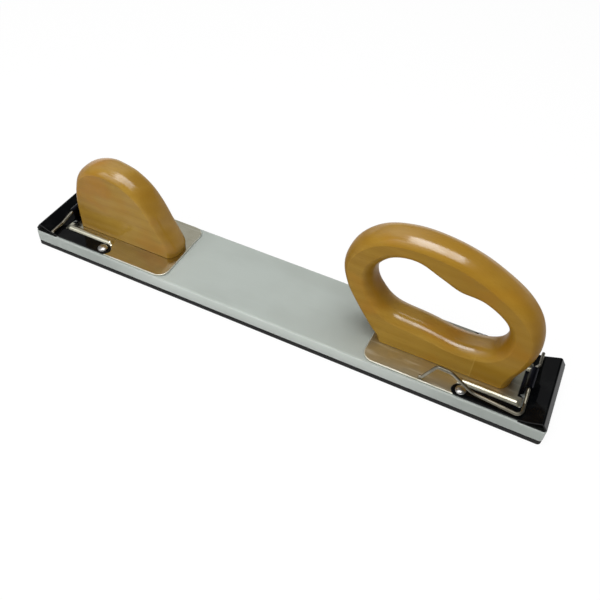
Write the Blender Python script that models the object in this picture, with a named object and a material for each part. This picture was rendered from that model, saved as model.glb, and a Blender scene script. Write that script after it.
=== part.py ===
# Flexible sanding board: a plastic board on a rubber sole, with a D-shaped wooden grip at the rear,
# a wooden knob at the front, and at each end a sprung jaw that a wire lever opens for the paper.
# +X points to the rear end, +Y to the far long side, +Z up. The origin is under the middle of the sole.
import math

import bmesh
import bpy
from mathutils import Vector
from mathutils.geometry import tessellate_polygon

for old in list(bpy.data.objects):
    bpy.data.objects.remove(old, do_unlink=True)

mm = 0.001

# Board and sole
board_length = 444.5 * mm
board_width = 70.0 * mm
board_thick = 11.2 * mm
board_corner = 3.0 * mm
board_edge = 0.6 * mm
pad_thick = 4.0 * mm
pad_inset = 0.2 * mm
pad_edge = 0.3 * mm

# Clearances: between still pieces, round a fastener, over and under the jaw, and beside it
seat_gap = 0.3 * mm
hole_gap = 0.3 * mm
jaw_play = 0.5 * mm
side_play = 0.5 * mm

# Bright base plates, bent from sheet. Lengths along the board are measured from its end.
plate_thick = 1.2 * mm
plate_margin = 1.4 * mm
plate_corner = 9.0 * mm
rear_plate_length = 142.0 * mm
front_plate_length = 128.0 * mm
rib_rise = 2.6 * mm
rib_width = 6.0 * mm
rib_ramp = 4.0 * mm
rib_steps = 5
rib_past_arm = 3.1 * mm
tongue_from_end = 22.3 * mm
strap_width = 20.0 * mm
strap_bend = 3.0 * mm
strap_root = 3.0 * mm
curl_turn = math.radians(230.0)

# Black spring jaws
jaw_thick = 1.2 * mm
jaw_margin = 1.4 * mm
jaw_arm = 10.4 * mm
arm_past_rivet = 1.6 * mm
jaw_neck_from_end = 21.4 * mm
jaw_inner_corner = 3.0 * mm
nose_from_end = 18.3 * mm
crest_from_end = 4.6 * mm
crest_rise = 5.3 * mm
crest_bend = 1.2 * mm
lip_from_end = 0.3 * mm
rivet_from_end = 65.2 * mm

# Wire levers
wire = 2.6 * mm
wire_bend = 3.2 * mm
wire_corner = 4.5 * mm
wire_sides = 3
pivot_from_end = 21.2 * mm
crank_set = 3.0 * mm
crank_rise = 5.6 * mm
crank_run = 9.5 * mm
crank_gap = 1.0 * mm
finger_gap = 1.5 * mm
finger_tip_margin = 0.8 * mm
leg_set = 1.0 * mm
leg_beside_rivet = 0.4 * mm
leg_splay = 3.4 * mm
leg_rise_from_end = 57.2 * mm
hump_from_end = 86.0 * mm
hump_rise = 13.0 * mm
hump_round = 3.4 * mm
hump_run = 11.2 * mm
hump_fall = 0.8 * mm
foot_from_end = 94.5 * mm
foot_out = 2.4 * mm
foot_toe = 2.6 * mm

# Rivets
rivet_shank = 4.0 * mm
rivet_head = 8.4 * mm
rivet_dome = 2.0 * mm
rivet_tail = 7.0 * mm
rivet_tail_thick = 1.2 * mm

# Handle screws, driven up through the board and its plate
screw_shank = 4.2 * mm
screw_head = 8.0 * mm
screw_head_thick = 2.4 * mm
screw_bite = 15.0 * mm
screw_point = 3.0 * mm
screw_pitch = 56.0 * mm

# Washers under the rivet tails and the screw heads
washer_thick = 1.0 * mm
washer_rim = 1.4 * mm

# Wooden grip and knob. Outline points, in mm, are (toward the board's end, above the base), to half a
# millimetre. The points below zero only carry the curve on past the base, where the wood is cut flat.
foot_round = 5.5 * mm
foot_height = 25.0 * mm
grip_thick = 26.6 * mm
grip_round = 8.6 * mm
grip_from_end = 89.7 * mm
grip_outline = [
    (-50, -14), (-50.5, 0), (-56, 7), (-61, 14), (-70, 27), (-80, 44), (-84.5, 63), (-79, 81.5),
    (-64, 96.5), (-42.5, 104), (-17.5, 104.5), (7.5, 99.5), (29.5, 90), (48, 78), (60.5, 63),
    (66, 44.5), (63.5, 26.5), (58, 11), (56, 0), (55.5, -14),
]
grip_hole = [
    (-60, 55), (-58.5, 68.5), (-47.5, 81), (-31.5, 84.5), (-14, 78), (1, 72), (19, 70), (36.5, 59),
    (41, 44.5), (34.5, 30), (13, 24), (-14.5, 28), (-40.5, 31), (-54, 42),
]
knob_thick = 26.0 * mm
knob_round = 7.6 * mm
knob_from_end = 77.7 * mm
knob_outline = [
    (-47, -14), (-47.5, 0), (-47.5, 6), (-43.5, 14), (-37, 25), (-29.5, 39), (-19.5, 52.5), (-6.5, 62),
    (4.5, 66), (18.5, 67.5), (32.5, 63), (43.5, 53.5), (48, 41), (50, 28.5), (50.5, 13.5), (50.5, 0),
    (51, -14),
]
outline_steps = 4
round_steps = 4

# Levels and places that follow from the sizes above
end = board_length / 2
board_bottom = pad_thick + seat_gap
board_top = board_bottom + board_thick
plate_middle = board_top + seat_gap + plate_thick / 2
plate_top = plate_middle + plate_thick / 2
wood_base = plate_top + seat_gap
jaw_middle = board_top + jaw_play + jaw_thick / 2
jaw_top = jaw_middle + jaw_thick / 2
head_seat = jaw_top + jaw_play
finger_height = jaw_top + finger_gap + wire / 2
pivot_height = finger_height + crank_rise
pivot_x = end - pivot_from_end
rivet_x = end - rivet_from_end
arm_x = rivet_x - arm_past_rivet
jaw_half = board_width / 2 - jaw_margin
jaw_inner = jaw_half - jaw_arm
rivet_y = jaw_half - jaw_arm / 2
leg_y = rivet_y + leg_beside_rivet
plate_half = board_width / 2 - plate_margin
rib_outer = jaw_inner - side_play - plate_thick / 2
curl_radius = wire / 2 + hole_gap + plate_thick / 2
strap_half = strap_width / 2
tail_seat = board_bottom + seat_gap
rivet_recess = rivet_tail_thick + washer_thick + 3 * seat_gap
screw_recess = screw_head_thick + washer_thick + 3 * seat_gap


def material(name, colour, roughness, metallic):
    made = bpy.data.materials.new(name)
    made.use_nodes = True
    shader = made.node_tree.nodes["Principled BSDF"]
    shader.inputs["Base Color"].default_value = (*colour, 1.0)
    shader.inputs["Roughness"].default_value = roughness
    shader.inputs["Metallic"].default_value = metallic
    return made


plastic = material("pale_plastic", (0.52, 0.56, 0.54), 0.45, 0.0)
rubber = material("black_rubber", (0.02, 0.02, 0.02), 0.85, 0.0)
plating = material("bright_plating", (0.80, 0.78, 0.74), 0.12, 1.0)
black_steel = material("black_steel", (0.015, 0.016, 0.02), 0.22, 0.0)
varnished_wood = material("varnished_wood", (0.55, 0.32, 0.08), 0.22, 0.0)
bright_wire = material("bright_wire", (0.75, 0.74, 0.72), 0.18, 1.0)
zinc = material("zinc_steel", (0.62, 0.62, 0.60), 0.35, 1.0)


# Each end of the board has its own empty. The front one is the rear one turned half round.
def empty(name, turn):
    made = bpy.data.objects.new(name, None)
    made.rotation_euler = (0.0, 0.0, turn)
    bpy.context.collection.objects.link(made)
    return made


rear_end = empty("rear_end", 0.0)
front_end = empty("front_end", math.pi)


def place(name, data, look, parent=None, location=(0.0, 0.0, 0.0)):
    data.materials.clear()
    data.materials.append(look)
    made = bpy.data.objects.new(name, data)
    made.location = location
    made.parent = parent
    bpy.context.collection.objects.link(made)
    return made


def to_mesh(name, bm):
    bmesh.ops.recalc_face_normals(bm, faces=bm.faces[:])
    mesh = bpy.data.meshes.new(name)
    bm.to_mesh(mesh)
    bm.free()
    mesh.shade_smooth()
    mesh.set_sharp_from_angle(angle=math.radians(32.0))
    return mesh


def cut(target, name, bm, parent=None, location=(0.0, 0.0, 0.0)):
    cutter = place(name, to_mesh(name, bm), zinc, parent, location)
    cutter.hide_render = True
    cutter.display_type = "WIRE"
    boolean = target.modifiers.new(name, "BOOLEAN")
    boolean.operation = "DIFFERENCE"
    boolean.solver = "EXACT"
    boolean.object = cutter


def solidify(target, thickness):
    thicken = target.modifiers.new("sheet", "SOLIDIFY")
    thicken.thickness = thickness
    thicken.offset = 0.0
    thicken.use_even_offset = True


# Points along a corner that is rounded to a radius, as far as its two sides allow
def rounded_corner(before, corner, after, radius, steps):
    back = (before - corner).normalized()
    ahead = (after - corner).normalized()
    half = back.angle(ahead) / 2
    room = min((before - corner).length, (after - corner).length) / 2
    reach = min(radius / math.tan(half), room)
    centre = corner + (back + ahead).normalized() * (reach / math.cos(half))
    spoke = corner + back * reach - centre
    swing = math.pi - 2 * half
    across = (corner + ahead * reach - centre - spoke * math.cos(swing)) / math.sin(swing)
    turns = [swing * step / steps for step in range(steps + 1)]
    return [centre + spoke * math.cos(turn) + across * math.sin(turn) for turn in turns]


# A path of (point, corner radius) pairs; an open path keeps its two ends
def rounded_path(corners, steps, closed=False):
    points = [Vector(point) for point, radius in corners]
    path = []
    for index, (point, radius) in enumerate(corners):
        is_end = not closed and index in (0, len(corners) - 1)
        if is_end or radius == 0:
            path.append(points[index])
        else:
            after = points[(index + 1) % len(points)]
            path += rounded_corner(points[index - 1], points[index], after, radius, steps)
    return path


# A smooth closed curve through the points of an outline
def smooth_loop(points, steps):
    knots = [Vector(point) * mm for point in points]
    count = len(knots)
    loop = []
    for index in range(count):
        a, b, c, d = (knots[(index + offset) % count] for offset in (-1, 0, 1, 2))
        for step in range(steps):
            t = step / steps
            bend = (2 * a - 5 * b + 4 * c - d) * t + (3 * b - a - 3 * c + d) * t * t
            loop.append(b + 0.5 * t * (c - a + bend))
    return loop


# A solid turned round Z. Its profile runs from axis to axis, or closes on itself as a ring.
def turned(profile, ring=False, steps=24):
    bm = bmesh.new()
    verts = [bm.verts.new((radius, 0.0, height)) for radius, height in profile]
    edges = [bm.edges.new(pair) for pair in zip(verts, verts[1:])]
    if ring:
        edges.append(bm.edges.new((verts[-1], verts[0])))
    bmesh.ops.spin(bm, geom=verts + edges, cent=(0, 0, 0), axis=(0, 0, 1), angle=math.tau, steps=steps)
    bmesh.ops.remove_doubles(bm, verts=bm.verts[:], dist=0.001 * mm)
    return bm


# A round cutter, a bore with a wider recess below it where one is given
def bore(radius, low, high, recess_radius=0.0, recess_high=0.0):
    profile = [(0.0, high), (radius, high)]
    if recess_radius:
        profile += [(radius, recess_high), (recess_radius, recess_high), (recess_radius, low)]
    else:
        profile.append((radius, low))
    return turned(profile + [(0.0, low)])


# A plank with round corners in plan and a small chamfer along its top and bottom edges
def plank(length, width, low, high, corner, chamfer):
    x = length / 2
    y = width / 2
    ends = [((x, y), corner), ((-x, y), corner), ((-x, -y), corner), ((x, -y), corner)]
    bm = bmesh.new()
    floor = bm.faces.new([bm.verts.new((*point, low)) for point in rounded_path(ends, 5, closed=True)])
    grown = bmesh.ops.extrude_face_region(bm, geom=[floor])["geom"]
    raised = [item for item in grown if isinstance(item, bmesh.types.BMVert)]
    bmesh.ops.translate(bm, verts=raised, vec=(0, 0, high - low))
    rims = [edge for edge in bm.edges if edge.verts[0].co.z == edge.verts[1].co.z]
    bmesh.ops.bevel(bm, geom=rims, offset=chamfer, segments=1, affect="EDGES")
    return bm


# Folds a strip of sheet from an edge of a flat blank, through rows of paired points
def fold(bm, first, second, rows):
    for near, far in rows:
        next_first = bm.verts.new(near)
        next_second = bm.verts.new(far)
        bm.faces.new((first, second, next_second, next_first))
        first = next_first
        second = next_second


# Rows of a slab across Y: how far out each lies, and how much of the edge rounding it draws in
def slab_layers(thick, edge_round):
    turns = [math.radians(90.0) * step / round_steps for step in range(round_steps + 1)]
    near = [(-thick / 2 + edge_round * (1 - math.sin(turn)), 1 - math.cos(turn)) for turn in reversed(turns)]
    return near + [(-y, share) for y, share in reversed(near)]


# A wooden slab standing across Y, with rounded edges, a flat base and perhaps a hand hole
def wooden_slab(outline, hole, thick, edge_round):
    bm = bmesh.new()
    caps = [[], []]
    for loop, side in ((outline, 1.0), (hole, -1.0)):
        count = len(loop)
        rows = []
        for y, share in slab_layers(thick, edge_round):
            row = []
            for index, point in enumerate(loop):
                along = (loop[(index + 1) % count] - loop[index - 1]).normalized()
                rise = min(max(point.y / foot_height, 0.0), 1.0)
                inset = share * (foot_round + (edge_round - foot_round) * rise * rise * (3 - 2 * rise))
                moved = point + Vector((along.y, -along.x)) * inset * side
                row.append(bm.verts.new((moved.x, y, moved.y)))
            rows.append(row)
        for low, high in zip(rows, rows[1:]):
            for index in range(count):
                after = (index + 1) % count
                bm.faces.new((low[index], low[after], high[after], high[index]))
        if count:
            caps[0].append(rows[0])
            caps[1].append(rows[-1])
    for loops in caps:
        corners = [vert for row in loops for vert in row]
        flat = [[Vector((vert.co.x, vert.co.z, 0.0)) for vert in row] for row in loops]
        for triangle in tessellate_polygon(flat):
            bm.faces.new([corners[index] for index in triangle])
    everything = bm.verts[:] + bm.edges[:] + bm.faces[:]
    bmesh.ops.bisect_plane(bm, geom=everything, dist=0.001 * mm, plane_co=(0, 0, 0), plane_no=(0, 0, -1),
                           clear_outer=True)
    bmesh.ops.holes_fill(bm, edges=[edge for edge in bm.edges if edge.is_boundary], sides=0)
    return bm


# Section across the rib beside the tongue, as (place across, rise) pairs from its inner foot outward
def rib_section():
    shares = [step / rib_steps for step in range(rib_steps + 1)]
    crest = rib_outer - rib_rise
    foot = rib_outer - rib_width
    inside = [(foot + (crest - foot) * share, rib_rise * (1 - math.cos(math.pi * share)) / 2)
              for share in shares]
    turns = [math.radians(90.0) * share for share in shares[1:]]
    return inside + [(crest + rib_rise * math.sin(turn), rib_rise * math.cos(turn)) for turn in turns]


# Cross sections along the rib, as (place along, share of its full rise) pairs; it ramps up and down again
def rib_columns(start, stop):
    shares = [step / rib_steps for step in range(rib_steps + 1)]
    swell = [(rib_ramp * share, share * share * (3 - 2 * share)) for share in shares]
    return [(start + x, lift) for x, lift in swell] + [(stop - x, lift) for x, lift in reversed(swell)]


# Base plate: a flat blank with a rounded rib raised along each side of its tongue, and a strap at the
# tongue's end that stands up and curls over the lever's wire
def plate(name, length, parent):
    inboard = end - length
    tongue_end = end - tongue_from_end
    rib_start = arm_x - rib_past_arm
    section = rib_section()
    columns = rib_columns(rib_start, tongue_end)
    strap_start = pivot_x - curl_radius - strap_bend
    arm_clear = jaw_arm / 2 + side_play
    side = rounded_corner(Vector((inboard, 0.0)), Vector((inboard, plate_half)), Vector((arm_x, plate_half)),
                          plate_corner, 6)
    lead = math.asin(min((plate_half - rivet_y) / arm_clear, 1.0))
    swing = lead + math.acos(rib_past_arm / arm_clear)
    arc_steps = 10
    turns = [math.pi - lead + swing * step / arc_steps for step in range(arc_steps + 1)]
    side += [Vector((arm_x + arm_clear * math.cos(turn), rivet_y + arm_clear * math.sin(turn)))
             for turn in turns]
    rib_at = len(side) + len(section) - 1
    side += [Vector((rib_start, y)) for y, rise in reversed(section)]
    side += [Vector((x, section[0][0])) for x, lift in columns[1:]]
    side += [Vector((tongue_end, strap_half + strap_root)), Vector((strap_start, strap_half))]
    bm = bmesh.new()
    far = [bm.verts.new((point.x, point.y, 0.0)) for point in side]
    near = [bm.verts.new((point.x, -point.y, 0.0)) for point in side]
    bm.faces.new(far + near[::-1])

    for line, sign in ((far, 1.0), (near, -1.0)):
        before = line[rib_at:rib_at - len(section):-1]
        for index, (x, lift) in enumerate(columns[1:], 1):
            column = [line[rib_at + index]]
            column += [bm.verts.new((x, sign * y, rise * lift)) for y, rise in section[1:]]
            for low in range(len(section) - 1):
                bm.faces.new((before[low], column[low], column[low + 1], before[low + 1]))
            before = column

    height = pivot_height - plate_middle
    turns = [math.radians(22.5) * step for step in (1, 2, 3, 4)]
    path = [(strap_start + strap_bend * math.sin(turn), strap_bend * (1 - math.cos(turn))) for turn in turns]
    curl_steps = 12
    turns = [math.pi - curl_turn * step / curl_steps for step in range(curl_steps + 1)]
    path += [(pivot_x + curl_radius * math.cos(turn), height + curl_radius * math.sin(turn))
             for turn in turns]
    fold(bm, far[-1], near[-1], [((x, strap_half, z), (x, -strap_half, z)) for x, z in path])

    made = place(name, to_mesh(name, bm), plating, parent, (0, 0, plate_middle))
    solidify(made, plate_thick)
    return made


# Jaw: two arms under the rivets, a cross piece, and a raised nose with a lip that slopes down to the board.
# Its origin is on the line through the rivets, about which the springy arms let it lift.
def jaw(name, parent):
    neck = end - jaw_neck_from_end - rivet_x
    nose = end - nose_from_end - rivet_x
    crest = end - crest_from_end - rivet_x
    lip = end - lip_from_end - jaw_thick / 2 - rivet_x
    half_turn = [math.radians(90.0) + math.pi * step / 12 for step in range(13)]
    arm_end = [(jaw_arm / 2 * math.cos(turn) - arm_past_rivet, rivet_y + jaw_arm / 2 * math.sin(turn))
               for turn in half_turn]
    inner = rounded_corner(Vector((0.0, jaw_inner)), Vector((neck, jaw_inner)), Vector((neck, 0.0)),
                           jaw_inner_corner, 4)
    side = [(nose, jaw_half)] + arm_end + [tuple(point) for point in inner]
    bm = bmesh.new()
    far = [bm.verts.new((x, y, 0.0)) for x, y in side]
    near = [bm.verts.new((x, -y, 0.0)) for x, y in side]
    bm.faces.new(far + near[::-1])
    lip_bottom = board_top + seat_gap + jaw_thick / 2 - jaw_middle
    bends = [((nose, 0.0), 0), ((crest, crest_rise), crest_bend), ((lip, lip_bottom), 0)]
    path = rounded_path(bends, 6)[1:]
    fold(bm, far[0], near[0], [((x, jaw_half, z), (x, -jaw_half, z)) for x, z in path])
    made = place(name, to_mesh(name, bm), black_steel, parent, (rivet_x, 0, jaw_middle))
    solidify(made, jaw_thick)
    for sign, word in ((1.0, "far"), (-1.0, "near")):
        hole = bore(rivet_shank / 2 + jaw_play, -2 * jaw_thick, 2 * jaw_thick)
        cut(made, f"{name}_{word}_hole", hole, parent, (rivet_x, sign * rivet_y, jaw_middle))


# Lever: one bent wire. Its middle turns in the curl of the strap, a finger on each side presses on the
# jaw, and one finger runs on along the board's edge to a hump for the fingertip and a foot on the plate.
def lever(name, parent):
    low = -crank_rise
    hold = strap_half + crank_gap
    tip = board_width / 2 - finger_tip_margin
    rise_x = end - leg_rise_from_end - pivot_x
    hump_x = end - hump_from_end - pivot_x
    foot_x = end - foot_from_end - pivot_x
    foot_z = plate_top + seat_gap + wire / 2 - pivot_height
    corners = [
        ((crank_set, tip, low), 0),
        ((crank_set, hold + crank_run, low), wire_bend),
        ((0.0, hold, 0.0), wire_bend),
        ((0.0, -hold, 0.0), wire_bend),
        ((leg_set, -hold - crank_run, low), wire_bend),
        ((leg_set, -leg_y - leg_splay, low), wire_corner),
        ((rise_x, -leg_y, low), 4 * wire_bend),
        ((hump_x + hump_run, -leg_y, low + hump_rise - hump_fall), 2 * hump_round),
        ((hump_x, -leg_y, low + hump_rise), hump_round),
        ((foot_x, -leg_y - foot_out, foot_z), wire / 2 + seat_gap),
        ((foot_x - foot_toe, -leg_y - foot_out, foot_z), 0),
    ]
    curve = bpy.data.curves.new(name, "CURVE")
    curve.dimensions = "3D"
    curve.bevel_depth = wire / 2
    curve.bevel_resolution = wire_sides
    curve.use_fill_caps = True
    path = rounded_path(corners, 6)
    spline = curve.splines.new("POLY")
    spline.points.add(len(path) - 1)
    for spot, point in zip(spline.points, path):
        spot.co = (*point, 1.0)
    place(name, curve, bright_wire, parent, (pivot_x, 0, pivot_height))


# Rivet: a domed head over the jaw, a shank through the board and a tail spread under its washer
def rivet_mesh():
    crown = [(rivet_head / 2 * math.sin(turn), head_seat + rivet_dome * math.cos(turn))
             for turn in (math.radians(18.0) * step for step in range(6))]
    profile = crown + [
        (rivet_shank / 2, head_seat),
        (rivet_shank / 2, tail_seat + rivet_tail_thick),
        (rivet_tail / 2, tail_seat + rivet_tail_thick),
        (rivet_tail / 2, tail_seat),
        (0.0, tail_seat),
    ]
    return to_mesh("rivet", turned(profile))


# Screw: a pan head sunk in the underside and a shank that bites into the wood
def screw_mesh():
    head_top = tail_seat + screw_head_thick
    tip = wood_base + screw_bite
    profile = [
        (0.0, tip),
        (screw_shank / 2, tip - screw_point),
        (screw_shank / 2, head_top),
        (screw_head / 2, head_top),
        (screw_head / 2, tail_seat),
        (0.0, tail_seat),
    ]
    return to_mesh("screw", turned(profile))


def washer_mesh(name, shank, head, low):
    inner = shank / 2 + hole_gap
    outer = head / 2 + washer_rim
    profile = [(inner, low), (outer, low), (outer, low + washer_thick), (inner, low + washer_thick)]
    return to_mesh(name, turned(profile, ring=True))


board_plank = plank(board_length, board_width, board_bottom, board_top, board_corner, board_edge)
board = place("base_board", to_mesh("base_board", board_plank), plastic)
pad_length = board_length - 2 * pad_inset
pad_width = board_width - 2 * pad_inset
pad_plank = plank(pad_length, pad_width, 0.0, pad_thick, board_corner, pad_edge)
place("rubber_pad", to_mesh("rubber_pad", pad_plank), rubber)

rivet_data = rivet_mesh()
screw_data = screw_mesh()
rivet_washer = washer_mesh("rivet_washer", rivet_shank, rivet_tail, tail_seat + rivet_tail_thick + seat_gap)
screw_washer = washer_mesh("screw_washer", screw_shank, screw_head, tail_seat + screw_head_thick + seat_gap)
through = board_top + plate_thick

ends = (
    ("rear", rear_end, rear_plate_length, grip_from_end, "rear_handle"),
    ("front", front_end, front_plate_length, knob_from_end, "front_knob"),
)
for word, parent, plate_length, handle_from_end, handle_name in ends:
    base = plate(f"{word}_plate", plate_length, parent)
    jaw(f"{word}_jaw", parent)
    lever(f"{word}_lever", parent)
    handle_x = end - handle_from_end
    if handle_name == "rear_handle":
        outer = smooth_loop(grip_outline, outline_steps)
        inner = smooth_loop(grip_hole, outline_steps)
        solid = wooden_slab(outer, inner, grip_thick, grip_round)
    else:
        solid = wooden_slab(smooth_loop(knob_outline, outline_steps), [], knob_thick, knob_round)
    handle_mesh = to_mesh(handle_name, solid)
    handle = place(handle_name, handle_mesh, varnished_wood, parent, (handle_x, 0, wood_base))

    for sign, side in ((-1.0, "lever_side"), (1.0, "plain_side")):
        spot = (rivet_x, sign * rivet_y, 0.0)
        place(f"{word}_rivet_{side}", rivet_data, zinc, parent, spot)
        place(f"{word}_rivet_washer_{side}", rivet_washer, zinc, parent, spot)
        recess = rivet_tail / 2 + washer_rim + hole_gap
        hole = bore(rivet_shank / 2 + hole_gap, 0.0, through, recess, board_bottom + rivet_recess)
        cut(board, f"{word}_rivet_hole_{side}", hole, parent, spot)

    for sign, side in ((-1.0, "inner"), (1.0, "outer")):
        spot = (handle_x + sign * screw_pitch / 2, 0.0, 0.0)
        place(f"{word}_screw_{side}", screw_data, zinc, parent, spot)
        place(f"{word}_screw_washer_{side}", screw_washer, zinc, parent, spot)
        clear = screw_shank / 2 + hole_gap
        recess = screw_head / 2 + washer_rim + hole_gap
        hole = bore(clear, 0.0, through, recess, board_bottom + screw_recess)
        cut(board, f"{word}_screw_hole_{side}", hole, parent, spot)
        cut(base, f"{word}_plate_hole_{side}", bore(clear, board_top, wood_base), parent, spot)
        pilot_top = wood_base + screw_bite + hole_gap
        cut(handle, f"{word}_pilot_{side}", bore(clear, board_top, pilot_top), parent, spot)
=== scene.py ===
import math

import bmesh
import bpy
from mathutils import Matrix, Vector, noise
from mathutils.geometry import interpolate_bezier


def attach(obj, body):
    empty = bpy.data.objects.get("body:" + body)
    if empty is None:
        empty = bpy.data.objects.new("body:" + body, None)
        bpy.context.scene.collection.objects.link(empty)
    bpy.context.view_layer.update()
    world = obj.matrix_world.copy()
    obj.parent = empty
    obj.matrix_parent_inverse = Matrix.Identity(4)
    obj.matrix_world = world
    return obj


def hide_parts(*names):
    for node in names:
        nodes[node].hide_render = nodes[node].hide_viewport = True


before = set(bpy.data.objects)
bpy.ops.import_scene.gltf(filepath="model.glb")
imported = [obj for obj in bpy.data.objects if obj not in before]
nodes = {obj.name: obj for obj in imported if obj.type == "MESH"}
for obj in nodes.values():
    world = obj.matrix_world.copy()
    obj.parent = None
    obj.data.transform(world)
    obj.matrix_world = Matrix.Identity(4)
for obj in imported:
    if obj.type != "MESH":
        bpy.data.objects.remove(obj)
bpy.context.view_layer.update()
scene = bpy.context.scene
mm = 0.001
print("frame loaded:", len(nodes), "nodes")


# camera at the photograph's view: angles in degrees, lens and sensor in mm, other lengths in metres
cameraSet = dict(azimuth=22.112, elevation=46.269, roll=4.774, distance=0.59702,
                 aim=(0.008794, 0.012687, 0.0), lens=42.84, sensor=36.0, clip=(0.01, 50.0))


def makeCamera(s):
    turn, rise, roll = (math.radians(s[key]) for key in ("azimuth", "elevation", "roll"))
    back = Vector((math.sin(turn) * math.cos(rise), -math.cos(turn) * math.cos(rise), math.sin(rise)))
    right = Vector((math.cos(turn), math.sin(turn), 0.0))
    up = back.cross(right)
    tiltedRight = right * math.cos(roll) + up * math.sin(roll)
    tiltedUp = up * math.cos(roll) - right * math.sin(roll)
    data = bpy.data.cameras.new("photoCamera")
    data.lens = s["lens"]
    data.sensor_width = s["sensor"]
    data.sensor_fit = "HORIZONTAL"
    data.clip_start, data.clip_end = s["clip"]
    camera = bpy.data.objects.new("photoCamera", data)
    scene.collection.objects.link(camera)
    turned = Matrix((tiltedRight, tiltedUp, back)).transposed().to_4x4()
    camera.matrix_world = Matrix.Translation(Vector(s["aim"]) + back * s["distance"]) @ turned
    scene.camera = camera


makeCamera(cameraSet)
print("camera placed")


# a socket of a shader tree that takes Python's operators; node() adds any other node
class Field:
    def __init__(self, tree, socket):
        self.tree = tree
        self.socket = socket

    def node(self, kind, settings=None, inputs=None, out=0):
        made = self.tree.nodes.new(kind)
        for key, value in (settings or {}).items():
            setattr(made, key, value)
        for key, value in (inputs or {}).items():
            if isinstance(value, Field):
                self.tree.links.new(value.socket, made.inputs[key])
            else:
                made.inputs[key].default_value = value
        return Field(self.tree, made.outputs[out])

    def calc(self, operation, first, second=0.0):
        return self.node("ShaderNodeMath", {"operation": operation}, {0: first, 1: second})

    def __add__(self, other):
        return self.calc("ADD", self, other)

    def __radd__(self, other):
        return self.calc("ADD", other, self)

    def __sub__(self, other):
        return self.calc("SUBTRACT", self, other)

    def __rsub__(self, other):
        return self.calc("SUBTRACT", other, self)

    def __mul__(self, other):
        return self.calc("MULTIPLY", self, other)

    def __rmul__(self, other):
        return self.calc("MULTIPLY", other, self)

    def __abs__(self):
        return self.calc("ABSOLUTE", self)


def newLook(name, fixed):
    look = bpy.data.materials.new(name)
    look.use_nodes = True
    shader = look.node_tree.nodes["Principled BSDF"]
    for key, value in fixed.items():
        shader.inputs[key].default_value = value
    spot = look.node_tree.nodes.new("ShaderNodeTexCoord")
    return look, Field(look.node_tree, spot.outputs["Object"])


def feed(look, inputs):
    shader = look.node_tree.nodes["Principled BSDF"]
    for key, value in inputs.items():
        look.node_tree.links.new(value.socket, shader.inputs[key])


def partOf(at, axis):
    return at.node("ShaderNodeSeparateXYZ", {}, {0: at}, axis)


def attributeOf(at, name):
    return at.node("ShaderNodeAttribute", {"attribute_name": name}, {}, "Fac")


def stretched(at, scale, shift=(0.0, 0.0, 0.0)):
    return at.node("ShaderNodeMapping", {}, {"Vector": at, "Location": shift, "Scale": scale})


# noise; a scale of three numbers draws the pattern out along the piece
def clouds(at, scale, detail=2.0, rough=0.5, wander=0.0, shift=(0.0, 0.0, 0.0)):
    if isinstance(scale, tuple):
        at = stretched(at, scale, shift)
        scale = 1.0
    inputs = {"Vector": at, "Scale": scale, "Detail": detail, "Roughness": rough, "Distortion": wander}
    return at.node("ShaderNodeTexNoise", {}, inputs)


def between(value, low, high, first=0.0, last=1.0):
    inputs = {"Value": value, "From Min": low, "From Max": high, "To Min": first, "To Max": last}
    return value.node("ShaderNodeMapRange", {"interpolation_type": "SMOOTHSTEP"}, inputs)


def fadeOut(value, start, length):
    return between(value, start, start + length, 1.0, 0.0)


def tinted(mask, first, second):
    return mask.node("ShaderNodeMix", {"data_type": "RGBA"}, {0: mask, 6: first, 7: second}, 2)


def bumped(height, distance):
    return height.node("ShaderNodeBump", {}, {"Height": height, "Distance": distance})


# Honey coloured hardwood under a clear gloss varnish. The grain runs along the board and shows faintly.
# The grip is darker toward its end, and beyond the glue joint low on its side.
woodLookSet = dict(
    fixed={"IOR": 1.45, "Specular IOR Level": 0.03, "Coat Roughness": 0.17, "Coat IOR": 2.5},
    pale=(0.485, 0.288, 0.045, 1), deep=(0.37, 0.20, 0.025, 1), shadeSpan=(0.3, 0.8),
    ringGap=9.0 * mm, ringAxis=(0.0, 0.03, 0.05), ringStretch=(0.12, 1.0, 1.0), ringShare=0.1,
    drift=dict(scale=(9.0, 30.0, 30.0), detail=3.0), driftTurns=9.0,
    fibre=dict(scale=(28.0, 900.0, 900.0), detail=3.0, rough=0.6), fibreShare=0.3,
    tone=dict(scale=18.0), toneShare=0.7,
    amber=(0.47, 0.207, 0.014, 1), warm=dict(scale=(22.0, 34.0, 34.0), shift=(0.3, 0.1, 0.2)),
    warmSpan=(0.5, 0.68), warmShare=0.65,
    fleckTone=(0.25, 0.112, 0.013, 1), fleck=dict(scale=(150.0, 1400.0, 1400.0), detail=1.0),
    fleckSpan=(0.66, 0.76), fleckShare=0.3,
    heart=(0.35, 0.175, 0.012, 1), leanSlope=0.7, leanSpan=(125.0 * mm, 205.0 * mm), heartShare=0.5,
    endTone=(0.27, 0.13, 0.009, 1), endSpan=(0.3, 0.75), endShare=0.55,
    glue=(0.62, 0.40, 0.09, 1), jointAt=158.6 * mm, jointHalf=0.7 * mm, jointTop=32.0 * mm,
    jointFade=8.0 * mm, jointShare=0.5,
    wipe=dict(scale=(60.0, 110.0, 110.0), detail=3.0), wipeRough=(0.3, 0.7, 0.32, 0.42),
    wipeCoat=(0.35, 0.65, 0.42, 0.66),
    ripple=dict(scale=170.0, detail=3.0), fibreLift=0.12, fleckDip=0.2, relief=0.12 * mm)


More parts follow.
